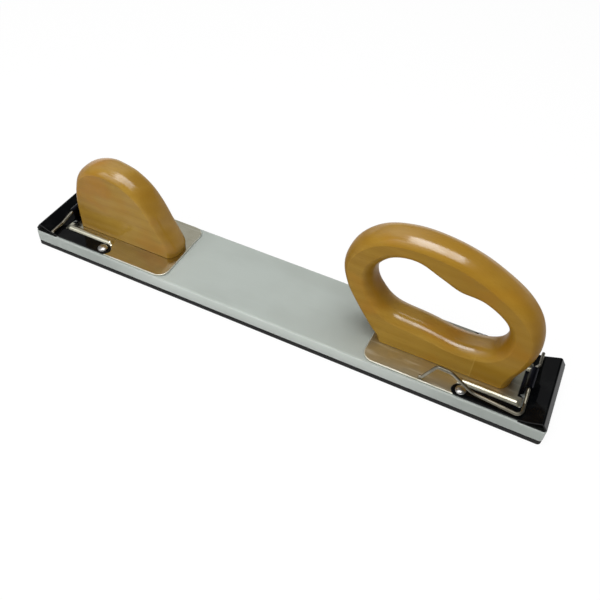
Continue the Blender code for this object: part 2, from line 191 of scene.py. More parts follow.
def woodLook(s):
    look, at = newLook("honeyVarnish", s["fixed"])
    along = partOf(at, "X")
    above = partOf(at, "Z")
    fibre = clouds(at, **s["fibre"])
    fleck = between(clouds(at, **s["fleck"]), *s["fleckSpan"])
    warm = between(clouds(at, **s["warm"]), *s["warmSpan"])
    wipe = clouds(at, **s["wipe"])
    across = stretched(at, s["ringStretch"], s["ringAxis"])
    radius = across.node("ShaderNodeVectorMath", {"operation": "LENGTH"}, {0: across}, "Value")
    turns = radius * (math.tau / s["ringGap"]) + clouds(at, **s["drift"]) * s["driftTurns"]
    ring = turns.calc("SINE", turns) * 0.5 + 0.5
    dim = 1.0 - clouds(at, **s["tone"])
    shade = ring * s["ringShare"] + fibre * s["fibreShare"] + dim * s["toneShare"]
    colour = tinted(between(shade, *s["shadeSpan"]), s["pale"], s["deep"])
    colour = tinted(warm * s["warmShare"], colour, s["amber"])
    colour = tinted(fleck * s["fleckShare"], colour, s["fleckTone"])
    lean = between(along * s["leanSlope"] + above, *s["leanSpan"])
    colour = tinted(lean * s["heartShare"], colour, s["heart"])
    endGrain = between(attributeOf(at, "endGrain"), *s["endSpan"])
    colour = tinted(endGrain * s["endShare"], colour, s["endTone"])
    low = fadeOut(above, s["jointTop"], s["jointFade"]) * s["jointShare"]
    beyond = along - s["jointAt"]
    colour = tinted(between(beyond, 0.0, s["jointHalf"]) * low, colour, s["heart"])
    colour = tinted(fadeOut(abs(beyond), 0.0, s["jointHalf"]) * low, colour, s["glue"])
    height = fibre * s["fibreLift"] - fleck * s["fleckDip"] + clouds(at, **s["ripple"])
    polish = attributeOf(at, "polish")
    feed(look, {"Base Color": colour, "Roughness": between(wipe, *s["wipeRough"]),
                "Coat Weight": polish * between(wipe, *s["wipeCoat"]),
                "Normal": bumped(height, s["relief"])})
    return look


# Plated sheet, hazed by handling and scuffed along its length. The rear plate is the duller one. The
# strap at the end of each plate is coloured near black, a painted dark reflection.
platingLookSet = dict(
    fixed={"Metallic": 1.0}, clean=(0.74, 0.72, 0.58, 1), hazed=(0.60, 0.57, 0.43, 1),
    smear=dict(scale=38.0, detail=3.0, wander=0.5), hazeSpan=(0.35, 0.7), hazeShare=0.8,
    scored=(0.92, 0.90, 0.80, 1), scuff=dict(scale=(40.0, 420.0, 420.0)), scuffSpan=(0.5, 0.75),
    scuffShare=0.5,
    strapPaintedDark=(0.012, 0.0125, 0.02, 1), strapFrom=195.3 * mm, strapHalf=13.0 * mm, strapFade=0.8 * mm,
    handledSpan=(-50.0 * mm, 50.0 * mm), ribSpan=(17.3 * mm, 18.0 * mm), rough=0.11, roughHandled=0.19,
    roughHaze=0.06, roughLines=0.03, roughScuff=0.1, roughRib=0.16, ribRubbed=0.12,
    lines=dict(scale=(50.0, 1800.0, 1800.0)), linesLift=0.03, waves=dict(scale=40.0, detail=1.0),
    wavesLift=2.0, relief=0.03 * mm)


def platingLook(s):
    look, at = newLook("brightPlating", s["fixed"])
    along = partOf(at, "X")
    haze = between(clouds(at, **s["smear"]), *s["hazeSpan"])
    scuff = between(clouds(at, **s["scuff"]), *s["scuffSpan"])
    lines = clouds(at, **s["lines"])
    colour = tinted(haze * s["hazeShare"], s["clean"], s["hazed"])
    colour = tinted(scuff * s["scuffShare"], colour, s["scored"])
    # painted reflection: the strap is coloured near black for the dark reflection it shows
    strap = between(abs(along), s["strapFrom"], s["strapFrom"] + s["strapFade"])
    strap = strap * fadeOut(abs(partOf(at, "Y")), s["strapHalf"], s["strapFade"])
    colour = tinted(strap, colour, s["strapPaintedDark"])
    handled = between(along, *s["handledSpan"])
    rib = between(partOf(at, "Z"), *s["ribSpan"])
    rough = s["rough"] + handled * s["roughHandled"] + haze * s["roughHaze"] + lines * s["roughLines"]
    rough = rough + scuff * s["roughScuff"] + rib * (s["roughRib"] - handled * s["ribRubbed"])
    relief = lines * s["linesLift"] + clouds(at, **s["waves"]) * s["wavesLift"]
    feed(look, {"Base Color": colour, "Roughness": rough, "Normal": bumped(relief, s["relief"])})
    return look


# sheared edges of the plated sheet, rough and coloured pale: partly rubbed wear, partly a painted highlight
# along the edge line; nicks dull them
edgeSheenLookSet = dict(fixed={"Metallic": 1.0}, rubbedAndSheen=(0.93, 0.91, 0.80, 1), dull=(0.74, 0.72, 0.60, 1),
                   nicks=dict(scale=(160.0, 160.0, 400.0), detail=3.0), nickSpan=(0.4, 0.7),
                   rough=0.38, roughNick=0.15, relief=0.02 * mm)


def edgeSheenLook(s):
    look, at = newLook("paintedEdgeSheen", s["fixed"])
    nicks = between(clouds(at, **s["nicks"]), *s["nickSpan"])
    feed(look, {"Base Color": tinted(nicks, s["rubbedAndSheen"], s["dull"]),
                "Roughness": s["rough"] + nicks * s["roughNick"], "Normal": bumped(nicks, s["relief"])})
    return look


# drawn wire, its plating dulled and darkened
wireLookSet = dict(fixed={"Metallic": 1.0}, clean=(0.27, 0.252, 0.20, 1), hazed=(0.165, 0.152, 0.117, 1),
                   smear=dict(scale=120.0, detail=3.0), smearSpan=(0.4, 0.7),
                   fine=dict(scale=(300.0, 1500.0, 1500.0)), rough=0.28, roughSmear=0.1, roughFine=0.06,
                   relief=0.02 * mm)


def wireLook(s):
    look, at = newLook("brightWire", s["fixed"])
    smear = between(clouds(at, **s["smear"]), *s["smearSpan"])
    fine = clouds(at, **s["fine"])
    feed(look, {"Base Color": tinted(smear, s["clean"], s["hazed"]), "Normal": bumped(fine, s["relief"]),
                "Roughness": s["rough"] + smear * s["roughSmear"] + fine * s["roughFine"]})
    return look


# zinc plated fasteners
zincLookSet = dict(fixed={"Metallic": 1.0}, clean=(0.60, 0.595, 0.575, 1), dull=(0.40, 0.39, 0.37, 1),
                   smear=dict(scale=260.0, detail=3.0), smearSpan=(0.4, 0.7), rough=0.27, roughSmear=0.14,
                   grain=dict(scale=900.0), relief=0.03 * mm)


def zincLook(s):
    look, at = newLook("zincPlate", s["fixed"])
    smear = between(clouds(at, **s["smear"]), *s["smearSpan"])
    feed(look, {"Base Color": tinted(smear, s["clean"], s["dull"]),
                "Roughness": s["rough"] + smear * s["roughSmear"],
                "Normal": bumped(clouds(at, **s["grain"]), s["relief"])})
    return look


# gloss black paint on spring steel
paintLookSet = dict(fixed={"IOR": 1.5, "Specular IOR Level": 0.14},
                    black=(0.0022, 0.0025, 0.003, 1), dusty=(0.006, 0.0063, 0.0065, 1),
                    dust=dict(scale=90.0, detail=4.0, rough=0.6), dustSpan=(0.45, 0.75),
                    rough=0.07, roughDust=0.08, peel=dict(scale=420.0), relief=0.03 * mm)


def paintLook(s):
    look, at = newLook("glossBlack", s["fixed"])
    dust = between(clouds(at, **s["dust"]), *s["dustSpan"])
    feed(look, {"Base Color": tinted(dust, s["black"], s["dusty"]),
                "Roughness": s["rough"] + dust * s["roughDust"],
                "Normal": bumped(clouds(at, **s["peel"]), s["relief"])})
    return look


# Pale grey plastic board, satin and a little translucent, with faint clouds and marks rubbed along its
# length. Its sides are painted paler midway, a painted glow of light through the board, and its top is
# painted black under the raised lips of the jaws, a painted shadow.
plasticLookSet = dict(
    fixed={"IOR": 1.48, "Subsurface Weight": 0.8, "Subsurface Radius": (1.0, 1.0, 1.0),
           "Subsurface Scale": 8.0 * mm},
    pale=(0.50, 0.545, 0.51, 1), dim=(0.455, 0.495, 0.46, 1),
    cloudy=dict(scale=(14.0, 26.0, 26.0), detail=3.0), dimSpan=(0.35, 0.7),
    rubbedAndSheen=(0.55, 0.585, 0.56, 1), rub=dict(scale=(10.0, 320.0, 320.0), detail=3.0, rough=0.6),
    rubSpan=(0.6, 0.78), rubShare=0.35,
    # glow: painted light, the sides coloured paler midway along the board
    glow=(0.68, 0.73, 0.685, 1), sideSpan=(34.7 * mm, 34.95 * mm), paintedGlowFull=90.0 * mm, paintedGlowFade=80.0 * mm,
    # black and its span: a painted shadow, the board top coloured black under the raised jaw lips
    black=(0.010, 0.011, 0.010, 1), shadowFrom=201.0 * mm, shadowTo=221.3 * mm, shadowHalf=34.5 * mm,
    shadowFade=0.2 * mm, topSpan=(15.3 * mm, 15.49 * mm),
    rough=0.4, roughRub=0.12, roughCloud=0.1, grain=dict(scale=1500.0), rubLift=0.4, relief=0.02 * mm)


def plasticLook(s):
    look, at = newLook("palePlastic", s["fixed"])
    outward = abs(partOf(at, "X"))
    sideways = abs(partOf(at, "Y"))
    cloudy = clouds(at, **s["cloudy"])
    rub = between(clouds(at, **s["rub"]), *s["rubSpan"])
    colour = tinted(between(cloudy, *s["dimSpan"]), s["pale"], s["dim"])
    colour = tinted(rub * s["rubShare"], colour, s["rubbedAndSheen"])
    # painted light: the sides are coloured paler midway along the board, a painted glow
    side = between(sideways, *s["sideSpan"]) * fadeOut(outward, s["paintedGlowFull"], s["paintedGlowFade"])
    colour = tinted(side, colour, s["glow"])
    # painted shadow: the top under the raised lips of the jaws is coloured black
    paintedShadow = between(outward, s["shadowFrom"], s["shadowFrom"] + s["shadowFade"])
    paintedShadow = paintedShadow * fadeOut(outward, s["shadowTo"], s["shadowFade"])
    paintedShadow = paintedShadow * fadeOut(sideways, s["shadowHalf"], s["shadowFade"])
    colour = tinted(paintedShadow * between(partOf(at, "Z"), *s["topSpan"]), colour, s["black"])
    height = clouds(at, **s["grain"]) + rub * s["rubLift"]
    feed(look, {"Base Color": colour, "Normal": bumped(height, s["relief"]),
                "Roughness": s["rough"] + rub * s["roughRub"] + cloudy * s["roughCloud"]})
    return look


# black rubber sole, dull and finely pitted
rubberLookSet = dict(fixed={"IOR": 1.45, "Specular IOR Level": 0.3},
                     black=(0.014, 0.014, 0.014, 1), chalky=(0.034, 0.033, 0.031, 1),
                     chalk=dict(scale=(40.0, 40.0, 160.0), detail=4.0, rough=0.6), chalkSpan=(0.45, 0.75),
                     rough=0.72, roughChalk=0.2, pits=dict(scale=1800.0), relief=0.08 * mm)


def rubberLook(s):
    look, at = newLook("blackRubber", s["fixed"])
    chalk = between(clouds(at, **s["chalk"]), *s["chalkSpan"])
    feed(look, {"Base Color": tinted(chalk, s["black"], s["chalky"]),
                "Roughness": s["rough"] + chalk * s["roughChalk"],
                "Normal": bumped(clouds(at, **s["pits"]), s["relief"])})
    return look


wood = woodLook(woodLookSet)
plating = platingLook(platingLookSet)
edgeSheen = edgeSheenLook(edgeSheenLookSet)
brightWire = wireLook(wireLookSet)
zinc = zincLook(zincLookSet)
blackPaint = paintLook(paintLookSet)
plastic = plasticLook(plasticLookSet)
rubber = rubberLook(rubberLookSet)
print("looks ready")


# for every piece: merge distances, and the angles in degrees past which an edge is sharp or gets rounded
meshSet = dict(weld=0.002 * mm, seam=0.001 * mm, sharp=40.0, foldSharp=60.0, roundFrom=50.0,
               roundSegments=3)


# puts a finished bmesh in the scene as a piece that rides on a body and stands for a CAD node
def addPiece(name, bm, look, body, node, sharp=meshSet["sharp"]):
    mesh = bpy.data.meshes.new(name)
    bm.to_mesh(mesh)
    bm.free()
    mesh.materials.append(look)
    mesh.shade_smooth()
    mesh.set_sharp_from_angle(angle=math.radians(sharp))
    piece = bpy.data.objects.new(name, mesh)
    scene.collection.objects.link(piece)
    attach(piece, body)
    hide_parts(node)
    return piece


# keeps broad flat faces flat beside their rounded edges
def evenNormals(piece):
    piece.modifiers.new("normals", "WEIGHTED_NORMAL").keep_sharp = True


def softenEdges(piece, width):
    rounded = piece.modifiers.new("edges", "BEVEL")
    rounded.width = width
    rounded.segments = meshSet["roundSegments"]
    rounded.limit_method = "ANGLE"
    rounded.angle_limit = math.radians(meshSet["roundFrom"])
    evenNormals(piece)


def thicken(piece, thickness):
    sheet = piece.modifiers.new("sheet", "SOLIDIFY")
    sheet.thickness = thickness
    sheet.offset = 0.0
    sheet.use_even_offset = True


# turns the modifiers of a piece into mesh
def bakeModifiers(piece):
    shaped = piece.evaluated_get(bpy.context.evaluated_depsgraph_get())
    mesh = bpy.data.meshes.new_from_object(shaped)
    piece.modifiers.clear()
    piece.data = mesh


def mergeDoubles(bm):
    bmesh.ops.remove_doubles(bm, verts=bm.verts[:], dist=meshSet["weld"])


def newParts(made, kind):
    return [part for part in made if isinstance(part, kind)]


def turnHalf(bm):
    bmesh.ops.rotate(bm, cent=(0, 0, 0), matrix=Matrix.Rotation(math.pi, 3, "Z"), verts=bm.verts[:])


def eased(share):
    return share * share * (3 - 2 * share)


# board with its holes, a merged copy of the CAD solid whose chamfers, by their angle, are rounded off
boardSet = dict(flat=0.5, chamferLow=40.0, chamferHigh=50.0, rounding=0.24 * mm)


def makeBoard(s):
    bm = bmesh.new()
    bm.from_mesh(nodes["base_board"].data)
    mergeDoubles(bm)
    bmesh.ops.dissolve_limit(bm, angle_limit=math.radians(s["flat"]), verts=bm.verts[:], edges=bm.edges[:])
    rims = [edge for edge in bm.edges if len(edge.link_faces) == 2
            and s["chamferLow"] < math.degrees(edge.calc_face_angle()) < s["chamferHigh"]]
    bmesh.ops.bevel(bm, geom=rims, offset=s["rounding"], offset_type="OFFSET", profile=0.5,
                    segments=meshSet["roundSegments"], affect="EDGES", material=-1)
    board = addPiece("board", bm, plastic, "board", "base_board")
    evenNormals(board)


# rubber sole
soleSet = dict(length=444.1 * mm, width=69.6 * mm, thick=4.0 * mm, corner=3.0 * mm, cornerSegments=8,
               edge=0.35 * mm)


def makeSole(s):
    bm = bmesh.new()
    bmesh.ops.create_cube(bm, size=1.0)
    bmesh.ops.scale(bm, vec=(s["length"], s["width"], s["thick"]), verts=bm.verts[:])
    bmesh.ops.translate(bm, vec=(0, 0, s["thick"] / 2), verts=bm.verts[:])
    uprights = [edge for edge in bm.edges if edge.verts[0].co.xy == edge.verts[1].co.xy]
    bmesh.ops.bevel(bm, geom=uprights, offset=s["corner"], segments=s["cornerSegments"], profile=0.5,
                    affect="EDGES", material=-1)
    sole = addPiece("sole", bm, rubber, "board", "rubber_pad")
    softenEdges(sole, s["edge"])


makeBoard(boardSet)
makeSole(soleSet)
print("board and sole made")


# Wooden grip and knob: outline points in mm as (toward the board's end, above the plate). Points below
# zero carry the curve past the base, where the wood is cut flat.
gripSet = dict(
    centre=132.55 * mm, base=17.3 * mm, thick=26.6 * mm, rounding=8.6 * mm, holeRounding=10.0 * mm,
    flatGloss=0.08,
    outline=[(-50, -14), (-50.5, 0), (-56, 7), (-61, 14), (-70, 27), (-80, 44), (-84.5, 63), (-79, 81.5),
             (-64, 96.5), (-42.5, 104), (-17.5, 104.5), (7.5, 99.5), (29.5, 90), (48, 78), (60.5, 63),
             (66, 44.5), (63.5, 26.5), (58, 11), (56, 0), (55.5, -14)],
    hole=[(-60, 55), (-58.5, 68.5), (-47.5, 81), (-31.5, 84.5), (-14, 78), (1, 72), (19, 70), (36.5, 59),
          (41, 44.5), (34.5, 30), (13, 24), (-14.5, 28), (-40.5, 31), (-54, 42)])
knobSet = dict(
    centre=144.55 * mm, base=17.3 * mm, thick=26.0 * mm, rounding=7.6 * mm, flatGloss=0.25,
    outline=[(-47, -14), (-47.5, 0), (-47.5, 6), (-43.5, 14), (-37, 25), (-29.5, 39), (-19.5, 52.5),
             (-6.5, 62), (4.5, 66), (18.5, 67.5), (32.5, 63), (43.5, 53.5), (48, 41), (50, 28.5),
             (50.5, 13.5), (50.5, 0), (51, -14)],
    hole=[])
woodSet = dict(depth=12.0 * mm, footRound=9.0 * mm, footHeight=25.0 * mm, curveSteps=9, roundSteps=10,
               wobble=0.2 * mm, wobbleScale=65.0, flatBelow=1.0 * mm, glossFrom=0.7, glossTo=0.92,
               crease=math.radians(16.0), sharp=12.0)


def smoothLoop(points, steps):
    knots = [Vector((x, 0.0, z)) * mm for x, z in points]
    count = len(knots)
    loop = []
    for index in range(count):
        before, start, stop, after = (knots[(index + step) % count] for step in (-1, 0, 1, 2))
        reachOut = start + (stop - before) / 6
        reachIn = stop - (after - start) / 6
        loop += interpolate_bezier(start, reachOut, reachIn, stop, steps + 1)[:-1]
    return loop


# half of a slab, from its middle out to its near face, as one ring of edges extruded step by step
def roundedRing(bm, loop, thick, rounding, side):
    count = len(loop)
    ring = [bm.verts.new(point) for point in loop]
    edges = [bm.edges.new((ring[index - 1], ring[index])) for index in range(count)]
    inward = []
    for index in range(count):
        along = (loop[(index + 1) % count] - loop[index - 1]).normalized()
        inward.append(Vector((along.z, 0.0, -along.x)) * side)
    straight = thick / 2 - woodSet["depth"]
    for step in range(woodSet["roundSteps"] + 1):
        turn = (math.pi / 2 - woodSet["crease"]) * step / woodSet["roundSteps"]
        made = bmesh.ops.extrude_edge_only(bm, edges=edges)["geom"]
        fresh = set(newParts(made, bmesh.types.BMVert))
        edges = [edge for edge in newParts(made, bmesh.types.BMEdge) if set(edge.verts) <= fresh]
        ring = [next(edge.other_vert(vert) for edge in vert.link_edges if edge.other_vert(vert) in fresh)
                for vert in ring]
        for vert, point, draw in zip(ring, loop, inward):
            share = eased(min(max(point.z / woodSet["footHeight"], 0.0), 1.0))
            reach = woodSet["footRound"] + (rounding - woodSet["footRound"]) * share
            vert.co = point + draw * reach * (1 - math.cos(turn))
            vert.co.y = -straight - woodSet["depth"] * math.sin(turn) / math.cos(woodSet["crease"])
    return edges


def makeWood(name, s, node, turned):
    bm = bmesh.new()
    rims = roundedRing(bm, smoothLoop(s["outline"], woodSet["curveSteps"]), s["thick"], s["rounding"], 1.0)
    if s["hole"]:
        hole = smoothLoop(s["hole"], woodSet["curveSteps"])
        rims += roundedRing(bm, hole, s["thick"], s["holeRounding"], -1.0)
    bmesh.ops.triangle_fill(bm, use_beauty=True, edges=rims, normal=(0, -1, 0))
    bmesh.ops.mirror(bm, geom=bm.verts[:] + bm.edges[:] + bm.faces[:], matrix=Matrix.Identity(4), axis="Y",
                     merge_dist=meshSet["seam"])
    bmesh.ops.bisect_plane(bm, geom=bm.verts[:] + bm.edges[:] + bm.faces[:], dist=meshSet["seam"],
                           plane_co=(0, 0, 0), plane_no=(0, 0, -1), clear_outer=True)
    bmesh.ops.holes_fill(bm, edges=[edge for edge in bm.edges if edge.is_boundary], sides=0)
    bmesh.ops.recalc_face_normals(bm, faces=bm.faces[:])
    bm.normal_update()
    polish = bm.verts.layers.float.new("polish")      # the varnish is glossiest on top, where hands rub it
    endGrain = bm.verts.layers.float.new("endGrain")  # wood cut across its grain takes the varnish darker
    for vert in bm.verts:
        share = (vert.normal.z - woodSet["glossFrom"]) / (woodSet["glossTo"] - woodSet["glossFrom"])
        vert[polish] = s["flatGloss"] + (1 - s["flatGloss"]) * min(max(share, 0.0), 1.0)
        vert[endGrain] = abs(vert.normal.x)
        lift = (noise.noise(vert.co * woodSet["wobbleScale"]) - 1.0) / 2 * woodSet["wobble"]
        upward = 0.0 if vert.co.z < woodSet["flatBelow"] else vert.normal.z
        vert.co += Vector((vert.normal.x, vert.normal.y, upward)) * lift
    bmesh.ops.translate(bm, vec=(s["centre"], 0, s["base"]), verts=bm.verts[:])
    if turned:
        turnHalf(bm)
    addPiece(name, bm, wood, "board", node, woodSet["sharp"])


makeWood("grip", gripSet, "rear_handle", False)
makeWood("knob", knobSet, "front_knob", True)
print("wood made")


# shared by the plates and the jaws, which are cut from sheet and bent
sheetSet = dict(cornerSegments=10, holeSides=32)


# flat blank of sheet: corner points with a rounding each, then round holes as (x, y, radius)
def sheetBlank(corners, holes):
    bm = bmesh.new()
    verts = [bm.verts.new((x, y, 0.0)) for x, y, rounding in corners]
    bm.faces.new(verts)
    for vert, (x, y, rounding) in zip(verts, corners):
        if rounding:
            bmesh.ops.bevel(bm, geom=[vert], offset=rounding, offset_type="OFFSET", profile=0.5,
                            segments=sheetSet["cornerSegments"], affect="VERTICES", material=-1,
                            clamp_overlap=False)
    mergeDoubles(bm)
    bmesh.ops.delete(bm, geom=bm.faces[:], context="FACES_ONLY")
    for x, y, radius in holes:
        bmesh.ops.create_circle(bm, cap_ends=False, segments=sheetSet["holeSides"], radius=radius,
                                matrix=Matrix.Translation((x, y, 0.0)))
    bmesh.ops.triangle_fill(bm, use_beauty=True, edges=bm.edges[:], normal=(0, 0, 1))
    return bm


# the edge of a flat blank that runs between two points
def edgeBetween(bm, first, second):
    start = Vector((*first, 0.0))
    stop = Vector((*second, 0.0))

    def miss(edge):
        here, there = (vert.co for vert in edge.verts)
        return min((here - start).length + (there - stop).length,
                   (there - start).length + (here - stop).length)

    return min(bm.edges, key=miss)


# bends the sheet on from an edge, round an axis through centre
def bend(bm, edge, centre, axis, angle, steps):
    made = bmesh.ops.spin(bm, geom=[*edge.verts, edge], cent=centre, axis=axis, angle=angle, steps=steps)
    return newParts(made["geom_last"], bmesh.types.BMEdge)[0]


def runOn(bm, edge, move):
    made = bmesh.ops.extrude_edge_only(bm, edges=[edge])["geom"]
    fresh = newParts(made, bmesh.types.BMVert)
    bmesh.ops.translate(bm, vec=move, verts=fresh)
    return next(last for last in newParts(made, bmesh.types.BMEdge) if set(last.verts) == set(fresh))


# bright plates, laid out for the rear end of the board
plateSet = dict(
    end=222.25 * mm, rearLength=142.0 * mm, frontLength=128.0 * mm, thick=1.2 * mm, middle=16.4 * mm,
    half=33.6 * mm, corner=9.0 * mm, armCentre=(155.45 * mm, 28.4 * mm), armClear=5.7 * mm, arcSteps=20,
    ribStart=152.35 * mm, ribOuter=22.1 * mm, ribWidth=6.0 * mm, ribRise=2.6 * mm, ribRamp=4.0 * mm,
    ribSteps=12, tongueEnd=199.95 * mm, strapStart=195.85 * mm, strapRoot=13.0 * mm, strapHalf=10.0 * mm,
    strapBend=3.0 * mm, bendSteps=8, curlCentre=(201.05 * mm, 9.2 * mm), curlTurn=math.radians(230.0),
    curlSteps=24, screwHole=2.4 * mm, screwPitch=56.0 * mm, edge=0.57 * mm, rimTurn=1.2,
    rimSlack=0.01 * mm)


# rounded rib beside the tongue: its section as (across, rise), its length as (along, share of the rise)
def ribShape(s):
    shares = [step / s["ribSteps"] for step in range(s["ribSteps"] + 1)]
    crest = s["ribOuter"] - s["ribRise"]
    foot = s["ribOuter"] - s["ribWidth"]
    section = [(foot + (crest - foot) * share, s["ribRise"] * (1 - math.cos(math.pi * share)) / 2)
               for share in shares]
    turns = [math.pi / 2 * share for share in shares[1:]]
    section += [(crest + s["ribRise"] * math.sin(turn), s["ribRise"] * math.cos(turn)) for turn in turns]
    swell = [(s["ribRamp"] * share, eased(share)) for share in shares]
    columns = [(s["ribStart"] + x, lift) for x, lift in swell]
    columns += [(s["tongueEnd"] - x, lift) for x, lift in reversed(swell)]
    return section, columns


# a grid drawn over the rib's shape, whose flat edges merge with the blank's
def raiseRib(bm, section, columns, sign):
    made = bmesh.ops.create_grid(bm, x_segments=len(columns) - 1, y_segments=len(section) - 1, size=0.5)
    for vert in made["verts"]:
        x, lift = columns[round((vert.co.x + 0.5) * (len(columns) - 1))]
        y, rise = section[round((vert.co.y + 0.5) * (len(section) - 1))]
        vert.co = (x, sign * y, rise * lift)


# rounds a plate's edges along its sides and over its inboard part, and gives them the pale edge look,
# partly a painted highlight
def roundSheenEdges(plate, s):
    plate.data.materials.append(edgeSheen)
    reach = s["armCentre"][0] - s["armClear"]
    aside = s["half"] - s["rimSlack"]
    bm = bmesh.new()
    bm.from_mesh(plate.data)
    rims = [edge for edge in bm.edges if len(edge.link_faces) == 2 and edge.calc_face_angle() > s["rimTurn"]
            and all(abs(vert.co.x) < reach or abs(vert.co.y) > aside for vert in edge.verts)]
    paleEdges = bmesh.ops.bevel(bm, geom=rims, offset=s["edge"], offset_type="OFFSET", profile=0.5,
                           segments=meshSet["roundSegments"], affect="EDGES", material=-1,
                           clamp_overlap=False)
    # the rounded edges get the pale edge look, partly a painted highlight along the edge line
    for face in paleEdges["faces"]:
        face.material_index = 1
        face.smooth = True
    mergeDoubles(bm)
    bm.to_mesh(plate.data)
    bm.free()
    plate.data.set_sharp_from_angle(angle=math.radians(meshSet["sharp"]))
    evenNormals(plate)


def makePlate(name, s, length, handleAt, node, turned):
    inboard = s["end"] - length
    armX, armY = s["armCentre"]
    section, columns = ribShape(s)
    lead = math.asin((s["half"] - armY) / s["armClear"])
    swing = lead + math.acos((armX - s["ribStart"]) / s["armClear"])
    turns = [math.pi - lead + swing * step / s["arcSteps"] for step in range(s["arcSteps"] + 1)]
    arc = [(armX + s["armClear"] * math.cos(turn), armY + s["armClear"] * math.sin(turn), 0.0)
           for turn in turns]
    side = [(inboard, s["half"], s["corner"]), *arc,
            *[(s["ribStart"], y, 0.0) for y, rise in reversed(section)],
            *[(x, section[0][0], 0.0) for x, lift in columns[1:]],
            (s["tongueEnd"], s["strapRoot"], 0.0), (s["strapStart"], s["strapHalf"], 0.0)]
    corners = side + [(x, -y, rounding) for x, y, rounding in reversed(side)]
    pitch = s["screwPitch"] / 2
    holes = [(handleAt + sign * pitch, 0.0, s["screwHole"]) for sign in (-1.0, 1.0)]
    bm = sheetBlank(corners, holes)
    for sign in (1.0, -1.0):
        raiseRib(bm, section, columns, sign)
    mergeDoubles(bm)
    edge = edgeBetween(bm, (s["strapStart"], s["strapHalf"]), (s["strapStart"], -s["strapHalf"]))
    edge = bend(bm, edge, (s["strapStart"], 0.0, s["strapBend"]), (0, -1, 0), math.pi / 2, s["bendSteps"])
    curlX, curlZ = s["curlCentre"]
    edge = runOn(bm, edge, (0.0, 0.0, curlZ - s["strapBend"]))
    bend(bm, edge, (curlX, 0.0, curlZ), (0, 1, 0), s["curlTurn"], s["curlSteps"])
    bmesh.ops.recalc_face_normals(bm, faces=bm.faces[:])
    bmesh.ops.translate(bm, vec=(0, 0, s["middle"]), verts=bm.verts[:])
    if turned:
        turnHalf(bm)
    plate = addPiece(name, bm, plating, "board", node, meshSet["foldSharp"])
    thicken(plate, s["thick"])
    bakeModifiers(plate)
    roundSheenEdges(plate, s)


makePlate("rearPlate", plateSet, plateSet["rearLength"], gripSet["centre"], "rear_plate", False)
makePlate("frontPlate", plateSet, plateSet["frontLength"], knobSet["centre"], "front_plate", True)
print("plates made")


# black spring jaws
jawSet = dict(
    thick=1.2 * mm, middle=16.6 * mm, half=33.6 * mm, inner=23.2 * mm, armEnd=150.25 * mm,
    armRound=5.2 * mm, neck=200.85 * mm, innerCorner=3.0 * mm, nose=203.95 * mm, crest=217.65 * mm,
    rise=5.3 * mm, lip=221.35 * mm, lipBottom=-0.2 * mm, noseBend=3.0 * mm, crestBend=0.9 * mm,
    bendSteps=8, rivet=(157.05 * mm, 28.4 * mm), hole=2.5 * mm, edge=0.3 * mm)


def makeJaw(name, s, body, turned):
    side = [(s["nose"], s["half"], 0.0), (s["armEnd"], s["half"], s["armRound"]),
            (s["armEnd"], s["inner"], s["armRound"]), (s["neck"], s["inner"], s["innerCorner"])]
    corners = side + [(x, -y, rounding) for x, y, rounding in reversed(side)]
    rivetX, rivetY = s["rivet"]
    bm = sheetBlank(corners, [(rivetX, rivetY, s["hole"]), (rivetX, -rivetY, s["hole"])])
    edge = edgeBetween(bm, (s["nose"], s["half"]), (s["nose"], -s["half"]))
    crest = runOn(bm, edge, (s["crest"] - s["nose"], 0.0, s["rise"]))
    runOn(bm, crest, (s["lip"] - s["crest"], 0.0, s["lipBottom"] - s["rise"]))
    for fold, reach in ((edge, s["noseBend"]), (crest, s["crestBend"])):
        bmesh.ops.bevel(bm, geom=[fold], offset=reach, offset_type="OFFSET", segments=s["bendSteps"],
                        profile=0.5, affect="EDGES", material=-1)
    bmesh.ops.recalc_face_normals(bm, faces=bm.faces[:])
    bmesh.ops.translate(bm, vec=(0, 0, s["middle"]), verts=bm.verts[:])
    if turned:
        turnHalf(bm)
    jaw = addPiece(name, bm, blackPaint, body, body, meshSet["foldSharp"])
    thicken(jaw, s["thick"])
    softenEdges(jaw, s["edge"])


makeJaw("rearJaw", jawSet, "rear_jaw", False)
makeJaw("frontJaw", jawSet, "front_jaw", True)
print("jaws made")


# wire levers: corner points in mm with a bend radius each, laid out for the rear end from the lever's pivot
leverSet = dict(
    pivot=(201.05 * mm, 0.0, 25.6 * mm), wire=1.3 * mm, sides=20, bendSteps=10, tipRound=0.5 * mm,
    tipSteps=4,
    corners=[((3.0, 34.2, -5.6), 0), ((3.0, 20.5, -5.6), 3.2), ((0.0, 11.0, 0.0), 3.2),
             ((0.0, -11.0, 0.0), 3.2), ((1.0, -20.5, -5.6), 3.2), ((1.0, -32.2, -5.6), 4.5),
             ((-36.0, -28.8, -5.6), 12.8), ((-53.6, -28.8, 6.6), 6.8), ((-64.8, -28.8, 7.4), 3.4),
             ((-73.3, -31.2, -7.0), 1.6), ((-75.9, -31.2, -7.0), 0)])


